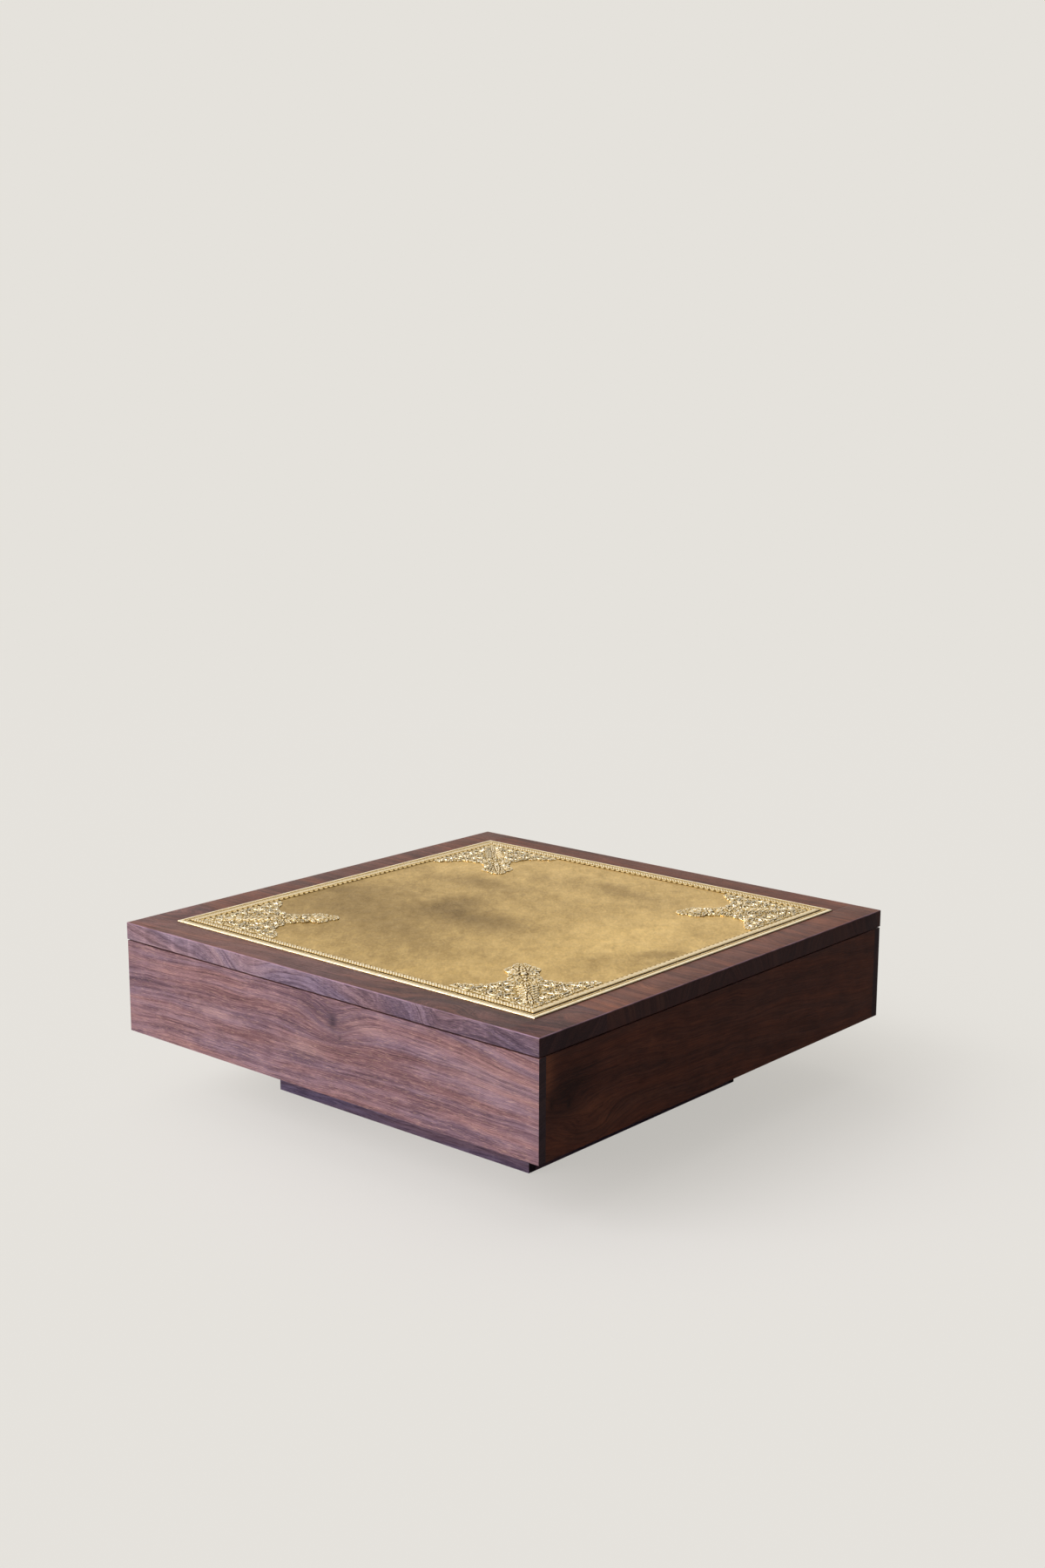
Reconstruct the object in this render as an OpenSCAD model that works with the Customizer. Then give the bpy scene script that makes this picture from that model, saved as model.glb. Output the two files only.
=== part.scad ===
// Low square table in dark wood. Its planked top holds an inlaid, brass-faced panel.
// The top stands on a butt-jointed box, and the box on a recessed plinth.
// Millimetres. The origin is on the floor under the middle of the table, and +Z is up.
// The planks run along X. Front is -Y, right is +X, back is +Y and left is -X.

/* [Top] */
// Side of the square top
top_side = 1067; // [1000:1:1160]
// Height of the wooden surface above the floor
table_h = 358; // [340:1:400]
// Thickness of the planks
top_t = 34; // [30:1:42]
// Number of planks, glued edge to edge
plank_count = 6; // [5:1:8]

/* [Brass panel] */
// Side of the brass-faced panel that is let into the top
panel_side = 926; // [880:1:960]
// Play around the panel's core in its recess, on each side
panel_play = 0.5; // [0.2:0.1:1]
// Thickness of the panel's plywood core
core_t = 12; // [9:1:15]
// Thickness of the brass sheet
sheet_t = 1; // [0.8:0.1:1.5]
// Width of the moulded brass border
border_w = 37; // [34:1:40]
// Height of the border's rope above the sheet
rope_h = 3.5; // [2:0.5:5]
// Height of the corner ornaments' bosses above the sheet
boss_h = 5; // [4:0.5:7]

/* [Carcass] */
// Thickness of the carcass and plinth boards
board_t = 18; // [16:1:22]
// Overhang of the top beyond the carcass
overhang = 1; // [0.5:0.5:4]
// Open shadow gap between the carcass boards and the top
shadow_gap = 2.5; // [1.5:0.5:5]
// Thickness of the base panel
base_t = 18; // [15:1:22]

/* [Plinth] */
// Height of the carcass above the floor
plinth_h = 136; // [110:1:150]
// Length of the plinth along X
plinth_x = 661; // [560:1:800]
// Length of the plinth along Y
plinth_y = 642; // [560:1:800]
// Thickness of the felt glides
glide_t = 2; // [1.5:0.5:5]

/* [Hidden] */
SIDES = ["front", "right", "back", "left"];
CORNERS = ["front_left", "front_right", "back_right", "back_left"];
batten_count = 3;

$fn = 48;
WOOD = "#4a2f28";
CORE = "#c8a678";
BRASS = "#c9a357";
STEEL = "#9a9a9a";
FELT = "#3a3530";

// levels
top_under = table_h - top_t;
carcass_top = top_under - shadow_gap;
base_top = plinth_h + base_t;
relief_floor = table_h + sheet_t;

// plan sizes
plank_w = top_side / plank_count;
recess_side = panel_side + 2 * panel_play;
sheet_side = panel_side - 2 * border_w;
carcass_side = top_side - 2 * overhang;
inner_side = carcass_side - 2 * board_t;

// border mouldings across the strip, from the outer edge inwards
lip_w = 9;
lip_h = 2;
rib_w = 5;
rib_h = 1.6;
groove_w = 4;
rope_w = 12.5;
fillet_h = 1.8;
// facets of a full circle, for the mouldings' shallow arcs
moulding_facets = 96;

// corner ornament: lobes as [along one edge, along the other, radius] from the panel's own
// corner, listed from the end of one arm to the diagonal, and mirrored for the other arm
ARM_LOBES = [
    [46, 222, 11],
    [54, 204, 17],
    [64, 181, 21],
    [88, 166, 19],
    [110, 164, 17]
];
DIAGONAL_LOBES = [[150, 150, 34], [174, 174, 28]];
FINIAL_LOBES = [[186, 207, 18], [207, 186, 18], [212, 212, 17]];
arm_mirror = [for (i = [len(ARM_LOBES) - 1:-1:0]) [ARM_LOBES[i][1], ARM_LOBES[i][0], ARM_LOBES[i][2]]];
lobes = concat(ARM_LOBES, DIAGONAL_LOBES, FINIAL_LOBES, arm_mirror);
ornament_core = concat(
    [[0, 0], [0, ARM_LOBES[0][1]]],
    [for (c = ARM_LOBES) [c[0], c[1]]],
    [[DIAGONAL_LOBES[0][0], DIAGONAL_LOBES[0][1]]],
    [for (c = arm_mirror) [c[0], c[1]]],
    [[ARM_LOBES[0][1], 0]]
);
ornament_reach = 260;
ornament_plate_t = 2.2;
ornament_play = 0.2;
// the boss on each lobe: shares of the lobe's radius at its root and its crown
boss_root = 0.62;
boss_crown = 0.4;
// the spine along the diagonal: its width and height, and its start beyond the border
spine_w = 12;
spine_h = 1.5;
spine_gap = 24;
// how far the bosses and the spine run into the plate, and cutting shapes past a surface
sink = 0.5;
past = 1;
ORNAMENT_PINS = [[52, 52], [50, 135], [135, 50], [122, 122]];

// frame timbers
post_w = 45;
cleat_t = 28;
cleat_h = 40;
batten_w = 50;
batten_gap = 2;
batten_pitch = 300;
base_cleat_t = 20;
base_cleat_h = 25;
base_play = 0.5;
block_w = 38;
plinth_cleat_t = 30;
cleat_l = inner_side - 2 * post_w;

// screws and pins
screw_r = 2;
head_r = 4;
head_h = 2.4;
hole_play = 0.1;
bite = 12;
pin_r = 0.6;
pin_head_r = 1.5;
pin_head_h = 0.7;
pin_l = 9;

// rows of screws or pins, as [count, margin from the ends]
TOP_CLEAT_UP = [4, 90];
TOP_CLEAT_OUT = [5, 40];
BASE_CLEAT_OUT = [4, 60];
BASE_UP = [5, 100];
PLINTH_CLEAT_UP = [3, 130];
PLINTH_CLEAT_OUT = [2, 180];
BORDER_PINS = [12, 45];

// screws through a corner timber: shares of its height, the two directions' distances from
// the corner, and the step in height between the two directions
CORNER_SCREW_Z = [0.25, 0.75];
POST_SCREWS = [14, 31];
post_screw_step = 15;
BLOCK_SCREWS = [12, 26];
block_screw_step = -12;

// half sizes and spans of the plinth as seen from side n
function plinth_depth(n) = (n % 2 == 0 ? plinth_y : plinth_x) / 2;
function plinth_width(n) = n % 2 == 0 ? plinth_x : plinth_y;
// positions spread evenly over a length, for a row given as [count, margin from the ends]
function spread(length, row) =
    [for (i = [0:row[0] - 1]) -length / 2 + row[1] + i * (length - 2 * row[1]) / (row[0] - 1)];

// turns a piece drawn for the front side, or for the front left corner, to side or corner n
module turned(n) {
    rotate([0, 0, 90 * n]) children();
}

// a box from its low corner to its high corner
module block(low, high) {
    translate(low) cube(high - low);
}

// a countersunk wood screw with its head's flat face at the origin, driven along +Z
module screw(length, play = 0) {
    cylinder(r = screw_r + play, h = length + play);
    cylinder(r1 = head_r + play, r2 = screw_r + play, h = head_h);
}

// a row of screws along X, at the given positions
module screw_row(xs, length, play = 0) {
    for (x = xs) translate([x, 0, 0]) screw(length, play);
}

// ---- screws, drawn for the front side or the front left corner ----

// up through a top cleat into the margin of the top
module top_cleat_up(play = 0) {
    translate([0, -inner_side / 2 + cleat_t / 2, top_under - cleat_h])
        screw_row(spread(cleat_l, TOP_CLEAT_UP), cleat_h + bite, play);
}

// through a top cleat into the board behind it
module top_cleat_out(play = 0) {
    translate([0, -inner_side / 2 + cleat_t, top_under - cleat_h / 2])
        rotate([90, 0, 0]) screw_row(spread(cleat_l, TOP_CLEAT_OUT), cleat_t + bite, play);
}

// up through a batten, one screw into each plank
module batten_up(play = 0) {
    translate([0, 0, top_under - cleat_h])
        for (i = [1:plank_count]) translate([0, plank_y(i), 0]) screw(cleat_h + bite - 2, play);
}

// through a corner post into the two boards that meet there
module post_out(play = 0) {
    for (k = CORNER_SCREW_Z) {
        z = base_top + k * (carcass_top - base_top);
        translate([-inner_side / 2 + POST_SCREWS[0], -inner_side / 2 + post_w, z])
            rotate([90, 0, 0]) screw(post_w + bite, play);
        translate([-inner_side / 2 + post_w, -inner_side / 2 + POST_SCREWS[1], z + post_screw_step])
            rotate([0, -90, 0]) screw(post_w + bite, play);
    }
}

// through a base cleat into the board behind it
module base_cleat_out(play = 0) {
    translate([0, -inner_side / 2 + base_cleat_t, base_top + base_cleat_h / 2])
        rotate([90, 0, 0]) screw_row(spread(cleat_l, BASE_CLEAT_OUT), base_cleat_t + bite, play);
}

// up through the base panel into a base cleat
module base_up(play = 0) {
    translate([0, -inner_side / 2 + base_cleat_t / 2, plinth_h])
        screw_row(spread(cleat_l, BASE_UP), base_t + bite, play);
}

// up through a plinth cleat into the base panel
module plinth_cleat_up(n, play = 0) {
    translate([0, -plinth_depth(n) + board_t + plinth_cleat_t / 2, plinth_h - plinth_cleat_t])
        screw_row(spread(plinth_width(n), PLINTH_CLEAT_UP), plinth_cleat_t + bite, play);
}

// through a plinth cleat into the board behind it
module plinth_cleat_out(n, play = 0) {
    translate([0, -plinth_depth(n) + board_t + plinth_cleat_t, plinth_h - plinth_cleat_t / 2])
        rotate([90, 0, 0])
            screw_row(spread(plinth_width(n), PLINTH_CLEAT_OUT), plinth_cleat_t + bite, play);
}

// through a plinth block into the two boards that meet there
module plinth_block_out(n, play = 0) {
    x = -plinth_width(n) / 2 + board_t;
    y = -plinth_depth(n) + board_t;
    for (k = CORNER_SCREW_Z) {
        z = glide_t + k * (plinth_h - glide_t);
        translate([x + BLOCK_SCREWS[0], y + block_w, z])
            rotate([90, 0, 0]) screw(block_w + bite, play);
        translate([x + block_w, y + BLOCK_SCREWS[1], z + block_screw_step])
            rotate([0, -90, 0]) screw(block_w + bite, play);
    }
}

// ---- brass pins ----

// a small domed nail with its head's underside at the origin, driven along -Z
module pin(play = 0) {
    translate([0, 0, -pin_l - play]) cylinder(r = pin_r + play, h = pin_l + 2 * play);
    cylinder(r1 = pin_head_r, r2 = pin_head_r * 0.6, h = pin_head_h);
}

// the row of pins in one border strip's groove
module border_pin_row(play = 0) {
    y = -panel_side / 2 + lip_w + rib_w + groove_w / 2;
    for (x = spread(panel_side, BORDER_PINS)) translate([x, y, relief_floor]) pin(play);
}

// the pins of one corner ornament
module ornament_pin_set(play = 0) {
    for (p = ORNAMENT_PINS)
        translate([p[0] - panel_side / 2, p[1] - panel_side / 2, table_h + ornament_plate_t])
            pin(play);
}

module brass_pins() {
    color(BRASS) for (n = [0:3]) turned(n) {
        border_pin_row();
        ornament_pin_set();
    }
}

// ---- the planked top ----

function plank_y(i) = -top_side / 2 + (i - 0.5) * plank_w;

module top_plank(i) {
    y = plank_y(i);
    color(WOOD) difference() {
        block([-top_side / 2, y - plank_w / 2, top_under], [top_side / 2, y + plank_w / 2, table_h]);
        block([-recess_side / 2, -recess_side / 2, table_h - core_t],
              [recess_side / 2, recess_side / 2, table_h + 1]);
        for (n = [0:3]) turned(n) top_cleat_up(hole_play);
        for (b = [1:batten_count]) translate([batten_x(b), 0, 0]) batten_up(hole_play);
    }
}

// ---- the brass panel ----

module panel_core() {
    half = panel_side / 2;
    color(CORE) difference() {
        block([-half, -half, table_h - core_t], [half, half, table_h]);
        for (n = [0:3]) turned(n) {
            border_pin_row(hole_play);
            ornament_pin_set(hole_play);
        }
    }
}

// plan outline of a corner ornament, inside the border
module ornament_outline(grow = 0) {
    intersection() {
        translate([border_w, border_w]) square(ornament_reach);
        union() {
            polygon(ornament_core);
            for (c = lobes) translate([c[0], c[1]]) circle(c[2] + grow);
        }
    }
}

// the plain sheet, cut back around the corner ornaments
module brass_sheet() {
    half = sheet_side / 2;
    color(BRASS) translate([0, 0, table_h]) linear_extrude(height = sheet_t) difference() {
        square(2 * half, center = true);
        for (n = [0:3]) rotate(90 * n) translate([-panel_side / 2, -panel_side / 2])
            ornament_outline(ornament_play);
    }
}

// a round moulding of width w and height h, standing on the sheet's level from y = at
module moulding(at, w, h) {
    r = (w * w / 4 + h * h) / (2 * h);
    translate([at + w / 2, sheet_t + h - r]) circle(r, $fn = moulding_facets);
}

// section of the border strip: lip, rib, groove, rope and fillet
module border_section() {
    intersection() {
        square([border_w, sheet_t + rope_h + past]);
        union() {
            square([border_w, sheet_t]);
            moulding(0, lip_w, lip_h);
            moulding(lip_w, rib_w, rib_h);
            moulding(lip_w + rib_w + groove_w, rope_w, rope_h);
            translate([lip_w + rib_w + groove_w + rope_w, 0])
                square([border_w - lip_w - rib_w - groove_w - rope_w, sheet_t + fillet_h]);
        }
    }
}

// one border strip, mitred at both ends
module brass_border(n) {
    half = panel_side / 2;
    inner = half - border_w;
    color(BRASS) turned(n) difference() {
        intersection() {
            translate([-half, -half, table_h])
                rotate([90, 0, 90]) linear_extrude(height = panel_side) border_section();
            translate([0, 0, table_h - past]) linear_extrude(height = sheet_t + rope_h + 3 * past)
                polygon([[-half, -half], [half, -half], [inner, -inner], [-inner, -inner]]);
        }
        border_pin_row(hole_play);
    }
}

// one corner ornament: its plate, a boss on each lobe and a spine along the diagonal
module brass_ornament(n) {
    spine_start = sqrt(2) * (border_w + spine_gap);
    spine_end = sqrt(2) * DIAGONAL_LOBES[0][0];
    color(BRASS) turned(n) difference() {
        translate([-panel_side / 2, -panel_side / 2, table_h]) {
            linear_extrude(height = ornament_plate_t) ornament_outline();
            for (c = lobes) translate([c[0], c[1], ornament_plate_t - sink])
                cylinder(r1 = boss_root * c[2], r2 = boss_crown * c[2],
                         h = sheet_t + boss_h - ornament_plate_t + sink);
            translate([0, 0, ornament_plate_t - sink]) linear_extrude(height = spine_h + sink) rotate(45)
                polygon([[spine_start, 0], [spine_end, -spine_w / 2], [spine_end, spine_w / 2]]);
        }
        ornament_pin_set(hole_play);
    }
}

// ---- the carcass ----

// carcass board on side n: the front and back boards cover the ends of the side boards
module carcass_board(n) {
    span = n % 2 == 0 ? carcass_side : inner_side;
    color(WOOD) turned(n) difference() {
        block([-span / 2, -carcass_side / 2, plinth_h], [span / 2, -inner_side / 2, carcass_top]);
        post_out(hole_play);
        turned(1) post_out(hole_play);
        top_cleat_out(hole_play);
        base_cleat_out(hole_play);
    }
}

module corner_post(n) {
    low = -inner_side / 2;
    color(CORE) turned(n) difference() {
        block([low, low, base_top], [low + post_w, low + post_w, top_under]);
        post_out(hole_play);
    }
}

module top_cleat(n) {
    y = -inner_side / 2;
    color(CORE) turned(n) difference() {
        block([-cleat_l / 2, y, top_under - cleat_h], [cleat_l / 2, y + cleat_t, top_under]);
        top_cleat_up(hole_play);
        top_cleat_out(hole_play);
    }
}

function batten_x(b) = (b - (batten_count + 1) / 2) * batten_pitch;

module top_batten(b) {
    reach = inner_side / 2 - cleat_t - batten_gap;
    color(CORE) translate([batten_x(b), 0, 0]) difference() {
        block([-batten_w / 2, -reach, top_under - cleat_h], [batten_w / 2, reach, top_under]);
        batten_up(hole_play);
    }
}

module base_panel() {
    half = inner_side / 2 - base_play;
    color(CORE) difference() {
        block([-half, -half, plinth_h], [half, half, base_top]);
        for (n = [0:3]) turned(n) {
            base_up(hole_play);
            plinth_cleat_up(n, hole_play);
        }
    }
}

module base_cleat(n) {
    y = -inner_side / 2;
    color(CORE) turned(n) difference() {
        block([-cleat_l / 2, y, base_top], [cleat_l / 2, y + base_cleat_t, base_top + base_cleat_h]);
        base_cleat_out(hole_play);
        base_up(hole_play);
    }
}

// ---- the plinth ----

module plinth_board(n) {
    span = n % 2 == 0 ? plinth_x : plinth_y - 2 * board_t;
    y = -plinth_depth(n);
    color(WOOD) turned(n) difference() {
        block([-span / 2, y, glide_t], [span / 2, y + board_t, plinth_h]);
        plinth_block_out(n, hole_play);
        turned(1) plinth_block_out(n + 1, hole_play);
        plinth_cleat_out(n, hole_play);
    }
}

module plinth_block(n) {
    x = -plinth_width(n) / 2 + board_t;
    y = -plinth_depth(n) + board_t;
    color(CORE) turned(n) difference() {
        block([x, y, glide_t], [x + block_w, y + block_w, plinth_h]);
        plinth_block_out(n, hole_play);
    }
}

module plinth_cleat(n) {
    reach = plinth_width(n) / 2 - board_t - block_w;
    y = -plinth_depth(n) + board_t;
    color(CORE) turned(n) difference() {
        block([-reach, y, plinth_h - plinth_cleat_t], [reach, y + plinth_cleat_t, plinth_h]);
        plinth_cleat_up(n, hole_play);
        plinth_cleat_out(n, hole_play);
    }
}

// a round felt pad under one plinth block
module glide(n) {
    x = -plinth_width(n) / 2 + board_t + block_w / 2;
    y = -plinth_depth(n) + board_t + block_w / 2;
    color(FELT) turned(n) translate([x, y, 0]) cylinder(r = block_w / 2, h = glide_t);
}

// ---- groups of identical screws ----

module top_screws() {
    color(STEEL) {
        for (n = [0:3]) turned(n) top_cleat_up();
        for (b = [1:batten_count]) translate([batten_x(b), 0, 0]) batten_up();
    }
}

module carcass_screws() {
    color(STEEL) for (n = [0:3]) turned(n) {
        post_out();
        top_cleat_out();
        base_cleat_out();
    }
}

module base_screws() {
    color(STEEL) for (n = [0:3]) turned(n) {
        base_up();
        plinth_cleat_up(n);
    }
}

module plinth_screws() {
    color(STEEL) for (n = [0:3]) turned(n) {
        plinth_block_out(n);
        plinth_cleat_out(n);
    }
}

for (i = [1:plank_count]) top_plank(i);
panel_core();
brass_sheet();
for (n = [0:3]) brass_border(n);
for (n = [0:3]) brass_ornament(n);
brass_pins();
for (n = [0:3]) carcass_board(n);
for (n = [0:3]) corner_post(n);
for (n = [0:3]) top_cleat(n);
for (b = [1:batten_count]) top_batten(b);
base_panel();
for (n = [0:3]) base_cleat(n);
for (n = [0:3]) plinth_board(n);
for (n = [0:3]) plinth_block(n);
for (n = [0:3]) plinth_cleat(n);
for (n = [0:3]) glide(n);
top_screws();
carcass_screws();
base_screws();
plinth_screws();
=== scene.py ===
"""A low square table in dark wood, with a brass-faced panel let into its top.

The boards, timbers, felt, screws and pins are the CAD nodes with new materials. The planks are
rebuilt with rounded arrises. The brass sheet, its border strips and its corner ornaments are
rebuilt as real relief. Names that end in _mm, and the relief itself, are in millimetres.
Everything else is in metres.
"""

from math import cos, pi, radians, sin

import bmesh
import bpy
import numpy as np
from mathutils import Matrix, Vector


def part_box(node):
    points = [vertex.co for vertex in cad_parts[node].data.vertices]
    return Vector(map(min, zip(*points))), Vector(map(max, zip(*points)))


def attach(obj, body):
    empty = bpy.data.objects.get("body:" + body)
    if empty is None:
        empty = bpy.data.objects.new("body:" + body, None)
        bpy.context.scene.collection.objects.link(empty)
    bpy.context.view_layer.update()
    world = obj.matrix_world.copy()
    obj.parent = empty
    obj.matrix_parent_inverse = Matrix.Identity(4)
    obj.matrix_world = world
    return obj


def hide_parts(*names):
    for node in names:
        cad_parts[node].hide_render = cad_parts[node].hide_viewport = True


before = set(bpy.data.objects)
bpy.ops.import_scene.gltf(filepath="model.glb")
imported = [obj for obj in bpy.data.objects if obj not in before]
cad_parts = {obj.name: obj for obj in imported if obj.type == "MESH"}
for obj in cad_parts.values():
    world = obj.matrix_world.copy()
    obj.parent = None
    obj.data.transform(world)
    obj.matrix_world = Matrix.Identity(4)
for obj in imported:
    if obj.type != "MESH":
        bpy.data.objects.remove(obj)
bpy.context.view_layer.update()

MM = 0.001
CORE_PLAY = 0.5 * MM  # round the core in its recess
RELIEF_MARGIN = 0.05  # how far the relief stays under the CAD ornament's top, in millimetres
SIDES = ["front", "right", "back", "left"]
CORNERS = ["front_left", "front_right", "back_right", "back_left"]
PLANKS = [name for name in sorted(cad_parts) if name.startswith("top_plank_")]

# ---- levels and sizes, from the frame ----

top_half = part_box(PLANKS[0])[1].x
top_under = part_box(PLANKS[0])[0].z
table_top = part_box(PLANKS[0])[1].z
recess_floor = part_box("panel_core")[0].z
recess_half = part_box("panel_core")[1].x + CORE_PLAY
panel_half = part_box("brass_border_front")[1].x
sheet_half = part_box("brass_sheet")[1].x
sheet_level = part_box("brass_sheet")[1].z
half_mm = panel_half / MM
border_mm = (panel_half - sheet_half) / MM
relief_mm = (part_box("brass_ornament_front_left")[1].z - sheet_level) / MM - RELIEF_MARGIN

# ======== materials ========


def rgb(red, green, blue):
    """A linear colour from screen values of 0 to 255."""
    screen = [value / 255 for value in (red, green, blue)]
    return (*[v / 12.92 if v <= 0.04045 else ((v + 0.055) / 1.055) ** 2.4 for v in screen], 1.0)


class Shader:
    """The nodes of one material or world. An input is a number, a tuple or another node's output."""

    def __init__(self, tree):
        self.tree = tree

    def put(self, sockets, key, value):
        if isinstance(value, bpy.types.NodeSocket):
            self.tree.links.new(value, sockets[key])
        else:
            sockets[key].default_value = value

    def node(self, kind, inputs, out=0, **settings):
        node = self.tree.nodes.new("ShaderNode" + kind)
        for key, value in settings.items():
            setattr(node, key, value)
        for key, value in inputs.items():
            self.put(node.inputs, key, value)
        return node.outputs[out]

    def math(self, operation, *values):
        return self.node("Math", dict(enumerate(values)), operation=operation)

    def times(self, first, second):
        return self.math("MULTIPLY", first, second)

    def total(self, *terms):
        """The sum of (share, value) pairs."""
        result = 0.0
        for share, value in terms:
            result = self.math("MULTIPLY_ADD", value, share, result)
        return result

    def centred(self, value):
        """A noise value, less its middle."""
        return self.total((1, value), (1, -0.5))

    def vector(self, x, y, z):
        return self.node("CombineXYZ", {0: x, 1: y, 2: z})

    def parts(self, vector):
        return list(self.node("SeparateXYZ", {0: vector}).node.outputs)

    def noise(self, vector, scale=1.0, detail=3.0, roughness=0.5, distortion=0.0):
        return self.node("TexNoise", {"Vector": vector, "Scale": scale, "Detail": detail,
                                      "Roughness": roughness, "Distortion": distortion})

    def step(self, value, low, high, start=0.0, end=1.0):
        """Runs smoothly from start, at low, to end, at high."""
        return self.node("MapRange", {0: value, 1: low, 2: high, 3: start, 4: end},
                         interpolation_type="SMOOTHSTEP")

    def hill(self, place, centre, reach):
        """1 at a centre, falling to 0 beyond the reach: each is one number for each coordinate."""
        square = 0.0
        for coordinate, middle, width in zip(place, centre, reach):
            share = self.math("MULTIPLY_ADD", coordinate, 1 / width, -middle / width)
            square = self.math("MULTIPLY_ADD", share, share, square)
        return self.math("EXPONENT", self.times(square, -1.0))

    def mix(self, share, first, second, blend="MIX"):
        return self.node("Mix", {0: share, 6: first, 7: second}, out=2,
                         data_type="RGBA", blend_type=blend)

    def ramp(self, value, *stops):
        """A colour for each value. stops are (value, colour) in rising order."""
        output = self.node("ValToRGB", {0: value})
        elements = output.node.color_ramp.elements
        while len(elements) < len(stops):
            elements.new(0.5)
        for element, (at, colour) in zip(elements, stops):
            element.position, element.color = at, colour
        return output

    def bump(self, height, strength, depth):
        return self.node("Bump", {"Height": height, "Strength": strength, "Distance": depth})


def new_material(name):
    """A material with a shader for its nodes, and the place of each point in the table's frame."""
    material = bpy.data.materials.new(name)
    material.use_nodes = True
    shader = Shader(material.node_tree)
    return material, shader, shader.node("TexCoord", {}, out="Object")


def set_surface(shader, **inputs):
    """Sets the surface's own sockets."""
    surface = shader.tree.nodes["Principled BSDF"]
    for key, value in inputs.items():
        shader.put(surface.inputs, key.replace("_", " "), value)


# ---- wood ----

# tones of the wood, from its dark streaks to its pale ones
DEEP = rgb(62, 38, 38)
BROWN = rgb(98, 64, 61)
PALE = rgb(128, 88, 82)
SAND = rgb(158, 112, 96)
KNOT = rgb(36, 25, 28)
FLECK = rgb(196, 140, 108)
COOL, WARM = (0.90, 0.97, 1.07, 1), (1.10, 1.0, 0.88, 1)
# pale colour of the painted highlight along the top's outer arrises
ARRIS_HIGHLIGHT = rgb(190, 156, 172)
# a knot, in shares of its size: the reach of the grain that it turns and of its dark middle, each
# along and across, and how far it pushes the rings
KNOT_REACH, KNOT_CORE, KNOT_PUSH = (3.2, 1.7), (0.5, 0.8), 1.3
SAWN_GAIN = 1.22  # how much paler the sawn bands on a board's edge are


def painted_arris_highlight(s, axes, patchiness, width=2.2 * MM):
    """Painted highlight: pale colour along the outer arrises of the top's upper face, in patches."""
    out = s.math("MAXIMUM", s.math("ABSOLUTE", axes[0]), s.math("ABSOLUTE", axes[1]))
    outer = s.step(out, top_half - width, top_half - 0.3 * width)
    upper = s.step(axes[2], table_top - width, table_top - 0.3 * width)
    highlight_share = s.step(patchiness, 0.35, 0.65, 0.2, 0.5)
    return s.times(s.times(outer, upper), highlight_share)


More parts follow.
